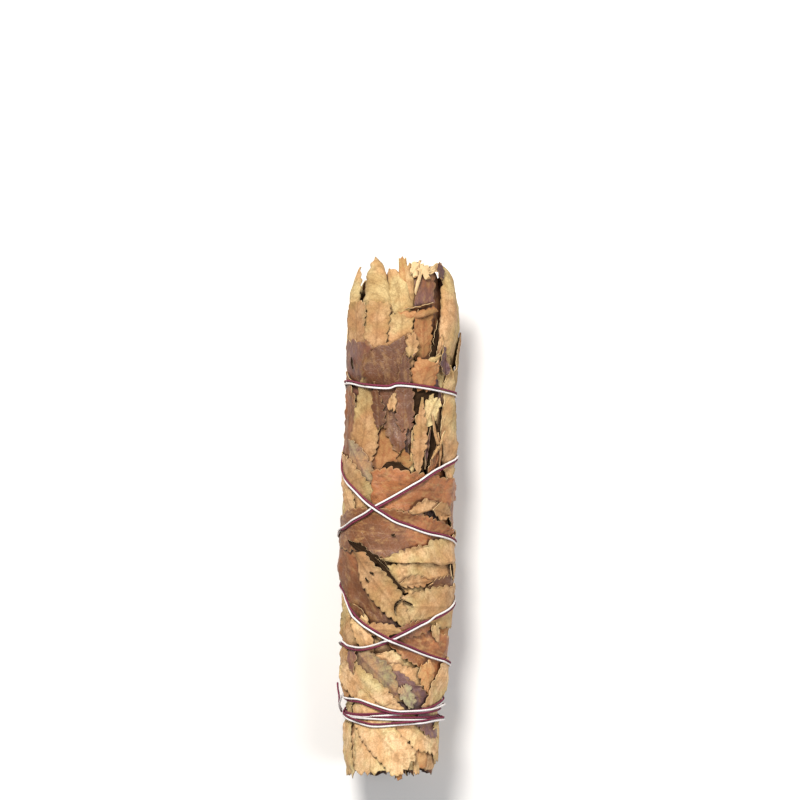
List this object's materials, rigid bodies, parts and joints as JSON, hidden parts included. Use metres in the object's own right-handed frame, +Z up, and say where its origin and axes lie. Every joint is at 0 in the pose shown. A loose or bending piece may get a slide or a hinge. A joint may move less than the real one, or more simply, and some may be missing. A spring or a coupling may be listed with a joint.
{
  "type": "yerba santa smudge stick",
  "caption": "Round bundle of dried toothed leaves lying on its side, bound with a pair of threads in level wraps and a crossed spiral.",
  "frame": {"origin": "middle of the footprint, on the surface that the stick lies on", "axes": "+Y along the stick towards its leaf tips, +Z up out of the side that shows its best leaves, +X to the right of that side"},
  "size_m": [0.0532, 0.2224, 0.0511],
  "materials": {
    "tan_leaf": "matte, woolly and net veined",
    "golden_leaf": "matte, woolly and net veined",
    "brown_leaf": "smooth, slightly glossy",
    "purple_leaf": "smooth, slightly glossy",
    "olive_leaf": "matte, dusty",
    "bundle_leaf": "matte, woolly",
    "white_cotton": "matte twisted thread",
    "burgundy_cotton": "matte twisted thread"
  },
  "bodies": {
    "root": {"inner_bundle": "bundle_leaf", "under_leaf_1": "tan_leaf", "under_leaf_2": "brown_leaf", "under_leaf_3": "tan_leaf", "under_leaf_4": "tan_leaf", "back_leaf_1": "golden_leaf", "back_leaf_2": "tan_leaf", "back_leaf_3": "tan_leaf", "back_leaf_4": "brown_leaf", "back_leaf_5": "brown_leaf", "back_leaf_6": "tan_leaf", "back_leaf_7": "tan_leaf", "back_leaf_8": "olive_leaf", "side_leaf_1": "tan_leaf", "side_leaf_2": "purple_leaf", "side_leaf_3": "brown_leaf", "side_leaf_4": "tan_leaf", "side_leaf_5": "golden_leaf", "side_leaf_6": "tan_leaf", "side_leaf_7": "tan_leaf", "side_leaf_8": "tan_leaf", "front_leaf_1": "brown_leaf", "front_leaf_2": "purple_leaf", "front_leaf_3": "tan_leaf", "front_leaf_4": "brown_leaf", "front_leaf_5": "tan_leaf", "front_leaf_6": "tan_leaf", "front_leaf_7": "brown_leaf", "front_leaf_8": "tan_leaf", "front_leaf_9": "tan_leaf", "front_leaf_10": "brown_leaf", "front_leaf_11": "brown_leaf", "front_leaf_12": "tan_leaf", "front_leaf_13": "tan_leaf", "front_leaf_14": "olive_leaf", "front_leaf_15": "brown_leaf", "front_leaf_16": "tan_leaf", "front_leaf_17": "tan_leaf", "front_leaf_18": "tan_leaf", "front_leaf_19": "tan_leaf", "front_leaf_20": "tan_leaf", "front_leaf_21": "purple_leaf", "front_leaf_22": "tan_leaf", "front_leaf_23": "tan_leaf", "front_leaf_24": "purple_leaf", "front_leaf_25": "tan_leaf", "front_leaf_26": "golden_leaf", "front_leaf_27": "golden_leaf", "front_leaf_28": "tan_leaf", "front_leaf_29": "golden_leaf", "resting_leaf_1": "tan_leaf", "resting_leaf_2": "brown_leaf", "white_thread": "white_cotton", "burgundy_thread": "burgundy_cotton"}
  },
  "joints": []
}
